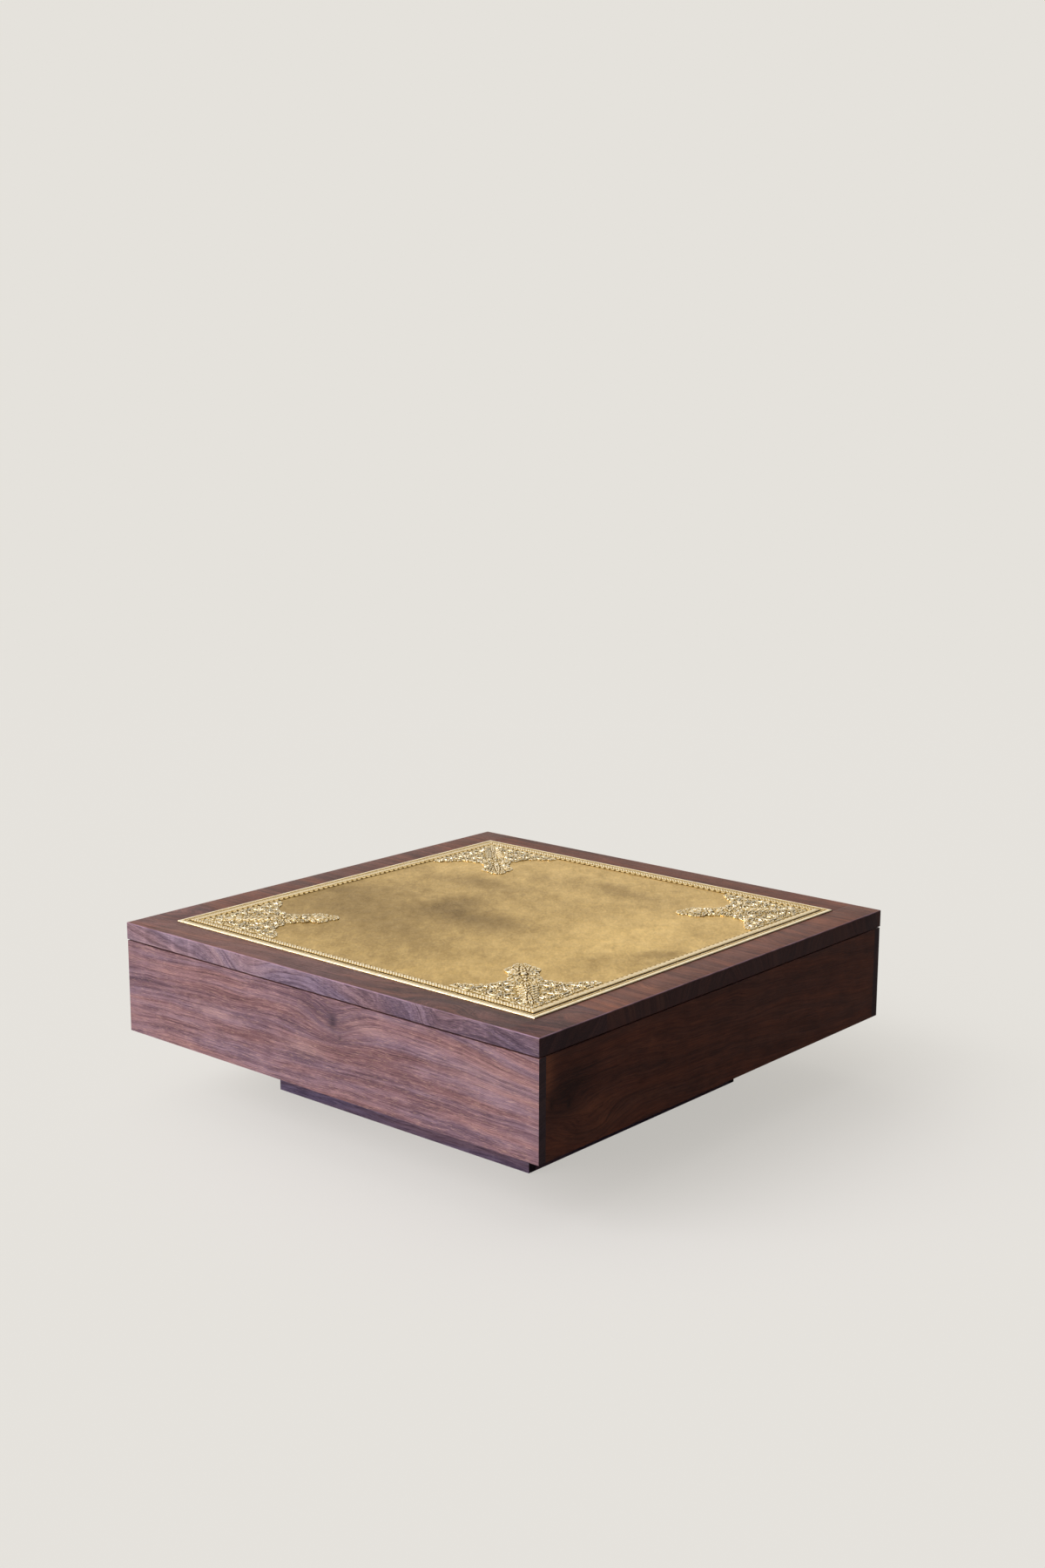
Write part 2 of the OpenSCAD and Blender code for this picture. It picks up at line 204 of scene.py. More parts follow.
def wood(name, node, along, face, seed=0.0, log=(0.3, 0.1), lean=0.0, knots=(), patches=(),
         tint=(1, 1, 1, 1), wave=1.0, contrast=1.0, edge_tint=(1, 1, 1, 1), end_dark=0.85,
         fleck=0.12):
    """Figured dark wood for one board. along is the grain's axis and face the axis through it.

    log is where the middle of the tree lies from the board's middle, across it and through it,
    and lean is how the tree tilts across the board. Each knot is (along, across, size, darkness),
    and each patch (along, across, reach along, reach across, share), in the table's frame: pale
    with a share above 0 and dark below it. edge_tint goes on the board's long edges, with paler
    sawn bands: on the top's planks it is a painted cool reflection. end_dark is how far its end
    grain goes to the darkest tone. fleck is the share of its pale flecks.
    """
    material, s, place = new_material(name)
    axes = s.parts(place)
    length, depth, width = axes[along], axes[face], axes[3 - along - face]
    middle = sum(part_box(node), Vector()) / 2
    log_width, log_depth = middle[3 - along - face] + log[0], middle[face] + log[1]

    # distance from the tree's middle, pushed about by waves and knots
    slow = s.noise(s.vector(s.total((1.6, length), (1, seed)), s.total((5, width)), s.total((5, depth))))
    quick = s.noise(s.vector(s.total((9, length), (1, seed)), s.total((22, width)), s.total((22, depth))))
    side = s.total((1, width), (-lean, length), (1, -log_width))
    back = s.total((1, depth), (0.5 * lean, length), (1, -log_depth))
    ring = s.math("SQRT", s.total((1, s.times(side, side)), (1, s.times(back, back))))
    ring = s.total((1, ring), (0.060 * wave, slow), (0.012 * wave, quick))
    eye = 0.0
    for at, across, size, darkness in knots:
        near = s.hill((length, width), (at, across), [share * size for share in KNOT_REACH])
        ring = s.total((1, ring), (KNOT_PUSH * size, near))
        core = s.hill((length, width), (at, across), [share * size for share in KNOT_CORE])
        eye = s.total((1, eye), (0.8 * darkness, core), (0.3 * darkness, near))

    bands = s.noise(s.vector(s.total((30, ring), (1, seed)), s.total((1.2, length)), seed),
                    roughness=0.6)
    streaks = s.noise(s.vector(s.total((250, ring), (1, seed)), s.total((3.0, length)), 3.1), detail=6,
                      roughness=0.78)
    fibre = s.noise(s.vector(s.total((16, length)), s.total((620, ring), (260, width)),
                             s.total((800, depth))), detail=4, roughness=0.65)
    pores = s.noise(s.vector(s.total((75, length)), s.total((1500, width), (500, ring)),
                             s.total((1500, depth))), detail=1)
    curl = s.noise(s.vector(s.total((24, length)), s.total((9, width), (30, ring)), s.total((9, depth))),
                   detail=2)
    pore = s.step(pores, 0.58, 0.70)
    flecks = s.noise(s.vector(s.total((70, length), (1, seed)), s.total((90, ring), (720, width)),
                              s.total((720, depth))), detail=2)

    tone = s.total((1, 0.5), (0.26 * contrast, s.centred(bands)),
                   (0.80 * contrast, s.centred(streaks)),
                   (0.50, s.centred(fibre)), (0.16, s.centred(curl)))
    glow = shade = 0.0
    for at, across, reach, spread, share in patches:
        spot = s.hill((length, width), (at, across), (reach, spread))
        if share > 0:
            glow = s.total((1, glow), (share, spot))
        else:
            shade = s.total((1, shade), (-share, spot))
    tone = s.total((1, tone), (-0.16, shade))
    colour = s.ramp(tone, (0.32, DEEP), (0.47, BROWN), (0.58, PALE), (0.74, SAND))
    hue = s.noise(s.vector(s.total((3, length), (1, seed)), s.total((40, ring)), 5.0), detail=2)
    colour = s.mix(1.0, colour, s.ramp(hue, (0.36, COOL), (0.64, WARM)), blend="MULTIPLY")
    glow = s.times(glow, s.step(streaks, 0.36, 0.60, 0.2, 1.0))
    colour = s.mix(glow, colour, SAND)
    line = s.step(streaks, 0.56, 0.66)
    colour = s.mix(s.times(line, 0.6 * contrast), colour, DEEP)
    colour = s.mix(s.times(s.step(flecks, 0.54, 0.70), fleck), colour, FLECK)
    colour = s.mix(s.times(pore, 0.45), colour, KNOT)
    flame = s.times(eye, s.step(s.total((0.5, streaks), (0.5, fibre)), 0.40, 0.60, 0.35, 1.0))
    colour = s.mix(s.math("MINIMUM", flame, 0.9), colour, KNOT)
    facing = s.parts(s.node("NewGeometry", {}, out="Normal"))
    end, edge = (s.step(s.math("ABSOLUTE", facing[axis]), 0.6, 0.9) for axis in (along, 3 - along - face))
    chatter = s.noise(s.vector(s.total((55, length), (1, seed)), s.total((7, width)), s.total((4, depth))),
                      roughness=0.7)
    # the long edges' tint with paler sawn bands; on the top's planks the tint is a painted cool reflection
    pale_edge = tuple(SAWN_GAIN * value for value in edge_tint)
    sawn = s.mix(s.step(chatter, 0.54, 0.72), edge_tint, pale_edge)
    colour = s.mix(1.0, colour, s.mix(edge, tint, sawn), blend="MULTIPLY")
    colour = s.mix(s.times(end, end_dark), colour, KNOT)
    # painted highlight along the top's arrises
    colour = s.mix(painted_arris_highlight(s, axes, quick), colour, ARRIS_HIGHLIGHT)

    relief = s.total((0.5, fibre), (0.35, streaks), (-0.9, pore))
    set_surface(s, Base_Color=colour, Roughness=s.total((1, 0.42), (0.16, fibre), (0.14, pore)),
                Normal=s.bump(relief, 0.35, 0.3 * MM), Specular_IOR_Level=0.16)
    return material


# ---- brass ----

BRASS = rgb(234, 197, 114)
BRASS_DULL = rgb(176, 143, 72)
BRASS_BROWN = rgb(106, 78, 16)
# the next two: painted shade in the chased hollows, and a painted highlight on the crests
BRASS_HOLLOW_SHADE = rgb(72, 49, 22)
BRASS_HIGHLIGHT = rgb(255, 244, 216)
PIN_CREST = 0.62  # the pins' height value: they have no relief of their own

# clouds of darker tone on the sheet, mostly towards -x and -y, and with a share below 0 a paler one: (x, y,
# reach along x, reach along y, depth of tone)
CLOUDS = [
    (-0.030, -0.060, 0.130, 0.055, 0.44),
    (-0.125, 0.016, 0.040, 0.075, 0.26),
    (0.030, 0.110, 0.120, 0.070, 0.16),
    (-0.230, 0.160, 0.120, 0.045, 0.30),
    (0.060, 0.290, 0.130, 0.035, 0.26),
    (0.400, -0.020, 0.030, 0.045, 0.32),
    (-0.330, -0.110, 0.190, 0.170, 0.34),
    (-0.100, -0.240, 0.250, 0.150, 0.20),
    (0.250, 0.060, 0.120, 0.180, -0.12),
]


def sheet_brass():
    """The hammered and wiped brass of the plain sheet, with tarnish mottling, and darker and paler clouds."""
    material, s, place = new_material("sheet_brass")
    x, y, _ = s.parts(place)
    drift = s.noise(place, 5.0, detail=4, roughness=0.6)
    sway = s.centred(drift)
    warped = (s.total((1, x), (0.16, sway)), s.total((1, y), (-0.12, sway)))
    cloud = 0.0
    for at_x, at_y, reach_x, reach_y, share in CLOUDS:
        cloud = s.total((1, cloud), (share, s.hill(warped, (at_x, at_y), (reach_x, reach_y))))
    # the marks of the hammer and of polishing run longer along one diagonal of the sheet
    across, along = s.total((0.76, x), (0.65, y)), s.total((-0.65, x), (0.76, y))

    def marks(short, long, shift, **settings):
        return s.noise(s.vector(s.total((short, across)), s.total((long, along)), shift), **settings)

    mottle = marks(24, 11, 0.0, detail=6, roughness=0.72)
    wrinkle = marks(70, 34, 4.0, detail=5, roughness=0.7, distortion=0.8)
    hammer = marks(210, 95, 8.0, roughness=0.6)
    speck = s.noise(place, 420.0, detail=2)
    tarnish = s.total((0.9, cloud), (0.60, sway), (0.56, s.centred(mottle)),
                      (0.45, s.centred(wrinkle)), (0.36, s.centred(hammer)),
                      (1, 0.27))
    tarnish = s.node("Clamp", {0: tarnish})
    colour = s.ramp(tarnish, (0.0, BRASS), (0.45, BRASS_DULL), (1.0, BRASS_BROWN))
    colour = s.mix(s.step(speck, 0.66, 0.78, 0.0, 0.3), colour, BRASS_BROWN)
    dents = s.node("TexVoronoi", {"Vector": s.vector(s.total((80, across)), s.total((36, along)), 0.0),
                                  "Scale": 1.0, "Smoothness": 1.0}, feature="SMOOTH_F1")
    relief = s.total((0.7, dents), (0.8, mottle), (0.8, wrinkle), (0.5, hammer), (0.05, speck))
    set_surface(s, Base_Color=colour, Metallic=1.0,
                Roughness=s.total((1, 0.30), (0.16, tarnish), (0.10, mottle)),
                Normal=s.bump(relief, 0.80, 0.9 * MM))
    return material


def relief_brass(name, attribute, dullness=0.24):
    """Chased brass, coloured by its crest value: a painted highlight on the high parts, and painted shade in
    the hollows.
    """
    material, s, place = new_material(name)
    height = s.node("Attribute", {}, out="Fac", attribute_name=attribute) if attribute else PIN_CREST
    grime = s.noise(place, 130.0, detail=4, roughness=0.65)
    chasing = s.noise(place, 900.0)
    level = s.total((1, height), (0.34, s.centred(grime)))
    # the colours run from painted shade in the hollows to a painted highlight on the crests
    colour = s.ramp(level, (0.16, BRASS_HOLLOW_SHADE), (0.32, BRASS_BROWN), (0.44, BRASS_DULL), (0.56, BRASS),
                    (0.74, BRASS_HIGHLIGHT))
    set_surface(s, Base_Color=colour, Metallic=s.step(level, 0.30, 0.70, 0.95, 0.90),
                Roughness=s.step(level, 0.2, 0.7, 0.5, dullness),
                Normal=s.bump(s.total((0.6, chasing), (0.6, grime)), 0.3, 0.15 * MM))
    return material


# ---- the rest ----


PLY = 1.5 * MM


def plywood():
    """Pale veneer on the faces and thin plies along the edges."""
    material, s, place = new_material("plywood")
    x, y, z = s.parts(place)
    grain = s.noise(s.vector(s.total((4, x)), s.total((120, y)), s.total((120, z))), detail=4)
    flecks = s.noise(s.vector(s.total((40, x)), s.total((900, y)), 0.0), detail=2)
    veneer = s.ramp(s.total((0.7, grain), (0.3, flecks)), (0.3, rgb(150, 112, 74)), (0.7, rgb(206, 170, 124)))
    ply = s.math("PINGPONG", z, PLY)
    edge = s.ramp(s.times(ply, 1 / PLY), (0.35, rgb(120, 84, 56)), (0.6, rgb(200, 164, 120)))
    up = s.math("ABSOLUTE", s.parts(s.node("NewGeometry", {}, out="Normal"))[2])
    set_surface(s, Base_Color=s.mix(s.step(up, 0.5, 0.8), edge, veneer), Roughness=0.65,
                Normal=s.bump(grain, 0.25, 0.2 * MM))
    return material


def felt():
    """Pressed wool: matt, flecked and a little fuzzy."""
    material, s, place = new_material("felt")
    tufts = s.noise(place, 900.0, detail=5, roughness=0.75, distortion=1.0)
    flecks = s.noise(place, 300.0)
    colour = s.ramp(s.total((0.6, tufts), (0.4, flecks)), (0.3, rgb(36, 32, 30)), (0.7, rgb(86, 78, 70)))
    set_surface(s, Base_Color=colour, Roughness=0.95, Sheen_Weight=0.4, Sheen_Roughness=0.6,
                Normal=s.bump(tufts, 0.6, 0.4 * MM))
    return material


def zinc():
    """Bright zinc plate with a faint yellow bloom and turning marks."""
    material, s, place = new_material("zinc")
    bloom = s.noise(place, 260.0, detail=4)
    marks = s.noise(place, 2200.0, detail=2)
    colour = s.ramp(bloom, (0.35, rgb(150, 150, 148)), (0.65, rgb(205, 200, 182)))
    set_surface(s, Base_Color=colour, Metallic=1.0, Roughness=s.step(bloom, 0.3, 0.7, 0.28, 0.45),
                Normal=s.bump(marks, 0.2, 0.05 * MM))
    return material


# ======== building meshes ========


def new_piece(name, mesh, material, slot, *nodes):
    """A piece that rides on the table and stands for CAD nodes."""
    piece = bpy.data.objects.new(name, mesh)
    bpy.context.scene.collection.objects.link(piece)
    mesh.materials.append(material)
    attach(piece, "root")
    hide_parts(*nodes)
    return piece


def box_grid(mesh, cuts, is_solid):
    """Fills a bmesh with the outer faces of a grid of boxes. cuts are the three axes' levels."""
    corners = {}

    def corner(place):
        if place not in corners:
            corners[place] = mesh.verts.new([cuts[axis][place[axis]] for axis in range(3)])
        return corners[place]

    cells = [range(len(levels) - 1) for levels in cuts]
    solid = {(i, j, k) for i in cells[0] for j in cells[1] for k in cells[2] if is_solid(i, j, k)}
    for cell in solid:
        for axis in range(3):
            second, third = (axis + 1) % 3, (axis + 2) % 3
            for side in (0, 1):
                beyond = list(cell)
                beyond[axis] += 2 * side - 1
                if tuple(beyond) in solid:
                    continue
                ring = []
                for a, b in ((0, 0), (1, 0), (1, 1), (0, 1)):
                    place = list(cell)
                    place[axis] += side
                    place[second] += a
                    place[third] += b
                    ring.append(corner(tuple(place)))
                mesh.faces.new(ring if side else ring[::-1])


def plank_mesh(name, low_y, high_y, arris=1.3 * MM, rim=0.4 * MM):
    """A plank with its share of the panel's recess, rounded only where the table's outside is."""
    mesh = bmesh.new()
    rows = [low_y, *[y for y in (-recess_half, recess_half) if low_y < y < high_y], high_y]
    cuts = ([-top_half, -recess_half, recess_half, top_half], rows, [top_under, recess_floor, table_top])

    def is_solid(i, j, k):
        over_recess = i == 1 and abs(rows[j] + rows[j + 1]) / 2 < recess_half
        return not (over_recess and k == 1)

    box_grid(mesh, cuts, is_solid)
    bmesh.ops.dissolve_limit(mesh, angle_limit=radians(1), verts=mesh.verts, edges=mesh.edges)

    def shared(edge, axis, level):
        return all(abs(abs(v.co[axis]) - level) < 1e-6 for v in edge.verts)

    def outside(edge):
        faces = [shared(edge, 0, top_half), shared(edge, 1, top_half),
                 shared(edge, 2, table_top) or shared(edge, 2, top_under)]
        return sum(faces) == 2

    def recess_rim(edge):
        sides = shared(edge, 0, recess_half) or shared(edge, 1, recess_half)
        return sides and shared(edge, 2, table_top)

    for test, radius in ((outside, arris), (recess_rim, rim)):
        edges = [edge for edge in mesh.edges if test(edge)]
        bmesh.ops.bevel(mesh, geom=edges, offset=radius, segments=4, profile=0.5, affect="EDGES",
                        clamp_overlap=True)
    made = bpy.data.meshes.new(name)
    mesh.to_mesh(made)
    mesh.free()
    made.shade_smooth()
    made.set_sharp_from_angle(angle=radians(35))
    return made


def relief_mesh(name, x, y, z, kept, bottom, hollow=None):
    """A closed solid whose top is a grid of points, without the cells that aren't kept.

    hollow gives each point a value for the material, from 0 in a pit to 1 on a crest: the brass paints shade
    in the pits and a highlight on the crests from it.
    """
    columns = x.shape[1]
    i, j = np.nonzero(kept)
    first = i * columns + j
    quads = np.stack([first, first + columns, first + columns + 1, first + 1], 1)
    used, quads = np.unique(quads, return_inverse=True)
    quads = quads.reshape(-1, 4)
    count = len(used)
    edges = np.concatenate([quads[:, [k, (k + 1) % 4]] for k in range(4)])
    alone = ~np.isin(edges[:, 0] * count + edges[:, 1], edges[:, 1] * count + edges[:, 0])
    following = dict(edges[alone].tolist())
    rim = [int(edges[alone][0, 0])]
    while following[rim[-1]] != rim[0]:
        rim.append(following[rim[-1]])
    if len(rim) != alone.sum():
        raise ValueError(f"{name} has {alone.sum()} rim edges and {len(rim)} in one loop")
    foot = [count + k for k in range(len(rim))]
    top = np.stack([x.ravel()[used], y.ravel()[used], z.ravel()[used]], 1)
    low = top[rim].copy()
    low[:, 2] = bottom
    walls = [[rim[k - 1], foot[k - 1], foot[k], rim[k]] for k in range(len(rim))]
    made = bpy.data.meshes.new(name)
    made.from_pydata(np.concatenate([top, low]), [], [*quads.tolist(), *walls, foot[::-1]])
    if hollow is not None:
        values = np.concatenate([hollow.ravel()[used], np.zeros(len(rim))])
        made.attributes.new("crest", "FLOAT", "POINT").data.foreach_set("value", values.astype(np.float32))
    made.shade_smooth()
    made.set_sharp_from_angle(angle=radians(80))
    return made


def blurred(field, radius):
    """A field smoothed over a radius in grid steps."""
    reach = np.arange(-3 * radius, 3 * radius + 1)
    kernel = np.exp(-0.5 * (reach / radius) ** 2)
    padded = np.pad(field, 3 * radius, mode="edge")
    for axis in (0, 1):
        padded = np.apply_along_axis(np.convolve, axis, padded, kernel / kernel.sum(), "valid")
    return padded


def crest(height, radius, span):
    """How far each point stands above its surroundings, from 0 to 1."""
    return np.clip(0.5 + (height - blurred(height, radius)) / span, 0, 1)


def quarter_turn(x, y, count):
    for _ in range(count):
        x, y = -y, x
    return x, y


# ======== corner ornaments ========

# plan outline, as lobes (along one edge, along the other, radius) from the panel's own corner,
# from the end of an arm to the diagonal. The other arm mirrors them.
ARM_LOBES = [(46, 222, 11), (54, 204, 17), (64, 181, 21), (88, 166, 19), (110, 164, 17)]
DIAGONAL_LOBES = [(150, 150, 34), (174, 174, 28)]
FINIAL_LOBES = [(186, 207, 18), (207, 186, 18), (212, 212, 17)]
PINS = [(52, 52), (50, 135), (135, 50), (122, 122)]
ORNAMENT_REACH = 246
GROUND = 0.25
SHEET_UNDER = 8  # how far the sheet runs under the ornament's outline
STALK = (150, 207, 9)  # the finial's stalk, along the diagonal: start, end and half width
PIN_SHOWS = 0.7  # how far a pin's head stands out of its seat
PIN_LEVEL = (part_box("brass_pins")[1].z - sheet_level) / MM - PIN_SHOWS
PIN_SEAT = 2.6  # radius of the flat that each pin's head lies on
# bare ground over the sheet sinks by BARE_DEPTH. FROM is how far from the nearest motif, or from the
# rim of the sheet's opening, it starts to sink, and WIDTH is how far it takes.
BARE_FROM, BARE_WIDTH, BARE_DEPTH = 0.4, 1.6, 0.85
RIM_FROM, RIM_WIDTH = 5, 3
EDGE_LAP, EDGE_DEPTH = 0.6, 0.3  # the ornament dips beside the border: over what width, how far
OUTLINE_MARGIN = 1.0  # ground kept outside the outline


def outside_ornament(u, v):
    """How far a point is outside the ornament's outline, negative inside."""
    arms = ARM_LOBES + [(b, a, radius) for a, b, radius in ARM_LOBES]
    lobes = arms + DIAGONAL_LOBES + FINIAL_LOBES
    out = np.min([np.hypot(u - a, v - b) - radius for a, b, radius in lobes], axis=0)
    small, large = np.minimum(u, v), np.maximum(u, v)
    spine = [(0, ARM_LOBES[0][1]), *[(a, b) for a, b, _ in ARM_LOBES], DIAGONAL_LOBES[0][:2]]
    edge = np.interp(small, [a for a, _ in spine], [b for _, b in spine])
    body = np.where(small < DIAGONAL_LOBES[0][0], large - edge, ORNAMENT_REACH)
    return np.minimum(out, body)


def outside_cut(u, v):
    """How far a point is outside the opening in the sheet under an ornament."""
    start, end, half = STALK
    on_stalk = np.clip((u + v) / 2, start, end)
    return np.minimum(outside_ornament(u, v) + SHEET_UNDER, np.hypot(u - on_stalk, v - on_stalk) - half)


class Relief:
    """A height field over a square patch, raised by strokes, leaves, flowers and beads.

    gap holds how far each point is outside everything drawn so far.
    """

    LAP = 0.8  # width of the hollow left round a motif that lies over others
    SUNK = 0.4  # what is left of the height of what lies under it
    FILL_LIMIT = 420  # the most motifs that fill() sets
    FLOWER_LEAST, LEAF_LEAST = 3.4, 2.2  # the least sizes of the flowers and leaves that it sets
    GOLDEN = 137.5  # turn from one of its leaves to the next, in degrees

    def __init__(self, low, high, step):
        self.axis = np.linspace(low, high, round((high - low) / step) + 1)
        self.u, self.v = np.meshgrid(self.axis, self.axis, indexing="ij")
        self.height = np.zeros_like(self.u)
        self.gap = np.full_like(self.u, high)

    def window(self, points, reach):
        """The part of the grid within reach of the points' box."""
        i, k = np.searchsorted(self.axis, points.min(0) - reach)
        j, m = np.searchsorted(self.axis, points.max(0) + reach)
        return np.s_[i:j, k:m]

    def lay(self, window, height, gap):
        """Lays a motif over what is there."""
        under = np.where(gap < self.LAP, self.SUNK, 1.0) * self.height[window]
        self.height[window] = np.maximum(under, height)
        self.gap[window] = np.minimum(self.gap[window], gap)

    def along(self, path, reach):
        """For each point near a path: the window, its share of the way along, and its distance."""
        window = self.window(path, reach)
        du = self.u[window][..., None] - path[:, 0]
        dv = self.v[window][..., None] - path[:, 1]
        nearest = (du * du + dv * dv).argmin(-1)
        du, dv = (np.take_along_axis(d, nearest[..., None], -1)[..., 0] for d in (du, dv))
        run = np.gradient(path, axis=0)
        pace = np.hypot(run[:, 0], run[:, 1])
        cu, cv = (run / pace[:, None])[nearest].transpose(2, 0, 1)
        last = len(path) - 1
        inside = (nearest > 0) & (nearest < last)
        distance = np.where(inside, np.abs(du * cv - dv * cu), np.hypot(du, dv))
        share = np.clip((nearest + (du * cu + dv * cv) / pace[nearest]) / last, 0, 1)
        return window, share, distance

    def stroke(self, path, half, height):
        """A round-backed band with a chased line. half and height run linearly from end to end."""
        window, share, distance = self.along(path, 4)
        width = half[0] + (half[1] - half[0]) * share
        across = distance / width
        body = np.clip(1 - across**2, 0, None) ** 0.4
        line = 0.25 * np.exp(-((across / 0.22) ** 2))
        level = height[0] + (height[1] - height[0]) * share
        self.lay(window, level * (body - line * (body > 0)), distance - width)

    def leaf(self, base, tip, width, height, bend=0.0, lobes=4):
        """A lobed acanthus leaf with a sunk midrib and slanting ribs."""
        base, tip = np.array(base, float), np.array(tip, float)
        run = tip - base
        middle = (base + tip) / 2 + bend * np.array([-run[1], run[0]])
        t = np.linspace(0, 1, 48)[:, None]
        path = (1 - t) ** 2 * base + 2 * t * (1 - t) * middle + t**2 * tip
        window, share, distance = self.along(path, width + 2)
        outline = width * np.sin(pi * np.clip(share, 0.02, 0.985) ** 0.7) ** 0.75
        half = outline * (0.72 + 0.28 * np.abs(np.sin(pi * lobes * share)))
        across = distance / half
        body = np.clip(1 - across**2, 0, None) ** 0.42
        ribs = 0.36 * (0.5 + 0.5 * np.cos(2 * pi * (lobes * share - 0.8 * across)))
        midrib = 0.35 * np.exp(-((distance / (0.16 * width)) ** 2))
        swell = 0.62 + 0.38 * np.sin(pi * np.clip(share * 1.1, 0, 1))
        self.lay(window, height * body * swell * (1 - ribs - midrib), distance - half)

    def around(self, centre, radius):
        """For each point near a centre: the window, its distance and its angle."""
        centre = np.array([centre], float)
        window = self.window(centre, radius + 2)
        du, dv = self.u[window] - centre[0, 0], self.v[window] - centre[0, 1]
        return window, np.hypot(du, dv), np.arctan2(dv, du)

    def bead(self, centre, radius, height):
        window, distance, _ = self.around(centre, radius)
        body = np.sqrt(np.clip(1 - (distance / radius) ** 2, 0, None))
        self.lay(window, height * body, distance - radius)

    def flower(self, centre, radius, petals, height, turn=0.0):
        """Rounded petals with grooves between them, round a raised boss. turn is in degrees."""
        window, distance, angle = self.around(centre, radius)
        petal = np.abs(np.cos(petals * (angle - radians(turn)) / 2))
        rim = radius * (0.72 + 0.28 * petal**0.6)
        out = distance / rim
        dish = np.clip(1 - out**4, 0, None) ** 0.5 * (0.3 + 0.5 * np.clip(out, 0, 1))
        body = height * dish * (0.4 + 0.6 * petal**0.5)
        boss = height * np.sqrt(np.clip(1 - (distance / (0.3 * radius)) ** 2, 0, None))
        self.lay(window, np.maximum(body, boss), distance - rim)

    def scroll(self, centre, radius, start, spin, height, turns=1.15, leaves=8):
        """A tapering stem that curls round a flower, with acanthus leaves on its outer side."""
        centre = np.array(centre, float)
        t = np.linspace(0, 1, 90)
        angle = radians(start) + spin * 2 * pi * turns * t
        curl = radius * (1 - 0.5 * t**1.3)
        path = centre + np.stack([curl * np.cos(angle), curl * np.sin(angle)], 1)
        for k in range(leaves):
            at = 4 + 9 * k
            out = (path[at] - centre) / curl[at]
            forward = spin * np.array([-out[1], out[0]])
            size = radius * (0.72 - 0.04 * k)
            tip = path[at] + size * (0.6 * out + 0.75 * forward)
            self.leaf(path[at] - 0.05 * size * out, tip, 0.38 * size, 0.9 * height, -0.3 * spin, 3)
        self.stroke(path, (0.16 * radius, 0.1 * radius), (height, 0.9 * height))
        self.flower(centre, 0.42 * radius, 6, 0.95 * height, start)

    def spray(self, root, leaves, height):
        """Pairs of leaves that spread from a root on the diagonal: (angle off it, length, width)."""
        for off, length, width in leaves:
            for side in ((1, -1) if off else (1,)):
                angle = radians(45 + side * off)
                tip = (root + length * cos(angle), root + length * sin(angle))
                self.leaf((root, root), tip, width, height, -0.005 * off * side)

    def mirror(self):
        """Copies one side of the diagonal to the other."""
        for field in (self.height, self.gap):
            field[:] = np.where(self.u >= self.v, field, field.T)

    def fill(self, inside, least, most):
        """Sets flowers, leaves and beads into the largest bare spots, down to a least width."""
        clear = np.where(inside & (self.u >= self.v), self.gap, 0)
        for turn in range(self.FILL_LIMIT):
            i, j = np.unravel_index(np.argmax(clear), clear.shape)
            if clear[i, j] < least:
                break
            spot = np.array([self.axis[i], self.axis[j]])
            size = min(clear[i, j] * 1.3, most)
            if size > self.FLOWER_LEAST:
                self.flower(spot, size, 5 + turn % 2, 3.0, turn * 25)
            elif size > self.LEAF_LEAST:
                heading = radians(turn * self.GOLDEN)
                reach = 1.5 * size * np.array([cos(heading), sin(heading)])
                self.leaf(spot - reach, spot + reach, 0.8 * size, 2.6, 0.2, 2)
            else:
                self.bead(spot, size * 0.9, 1.8)
            clear = np.minimum(clear, np.hypot(self.u - spot[0], self.v - spot[1]) - size)


# scrolls: centre, radius, start angle in degrees, spin, height
SCROLLS = [
    ((72, 52), 9, 200, 1, 3.0),
    ((222, 49), 7.5, 190, -1, 3.0),
    ((200, 57), 12.5, 160, 1, 3.3),
    ((173, 62), 14.5, 200, -1, 3.5),
    ((141, 61), 16, 160, 1, 3.6),
    ((106, 62), 16.5, 200, -1, 3.7),
    ((167, 94), 13, 250, 1, 3.7),
    ((136, 97), 13.5, 70, -1, 3.8),
    ((162, 121), 10.5, 240, 1, 3.7),
]
# leaves: base, tip, width, height, bend
LEAVES = [
    ((88, 42), (118, 41), 4, 2.4, 0.1),
    ((122, 41), (152, 41), 4, 2.4, -0.1),
    ((156, 41), (184, 41), 4, 2.4, 0.1),
    ((186, 41), (212, 40.5), 3.5, 2.3, -0.1),
    ((212, 41), (238, 42), 4.5, 2.6, 0.06),
    ((116, 84), (124, 112), 5, 3.2, 0.25),
    ((150, 78), (152, 104), 4.5, 3.2, -0.25),
    ((184, 76), (186, 94), 4, 3.0, 0.25),
    ((182, 96), (176, 112), 4, 3.0, 0.3),
]
FEATHER_ROOTS = range(118, 46, -9)
FEATHER = [(66, 36, 5.4), (40, 44, 6.2)]
FEATHER_FULL = 95  # the root where the feathers are full size: lower ones are shorter
FINIAL = [(100, 26, 5), (78, 37, 6.5), (54, 46, 7.5), (33, 52, 7.5), (15, 56, 7.5), (0, 62, 8)]
# places along the diagonal
SPINE_ROOT, BLOOM_AT, FINIAL_ROOT, BOSS_AT = 46, 148, 172, 176
SPINE = [(0, 80, 5.5)]
BLOOM_LEAVES, BLOOM_REACH = 10, (10, 34)  # the open flower's leaves and petals, and the leaves' ends
BLOOM, BOSS = 15, 6.5  # radii


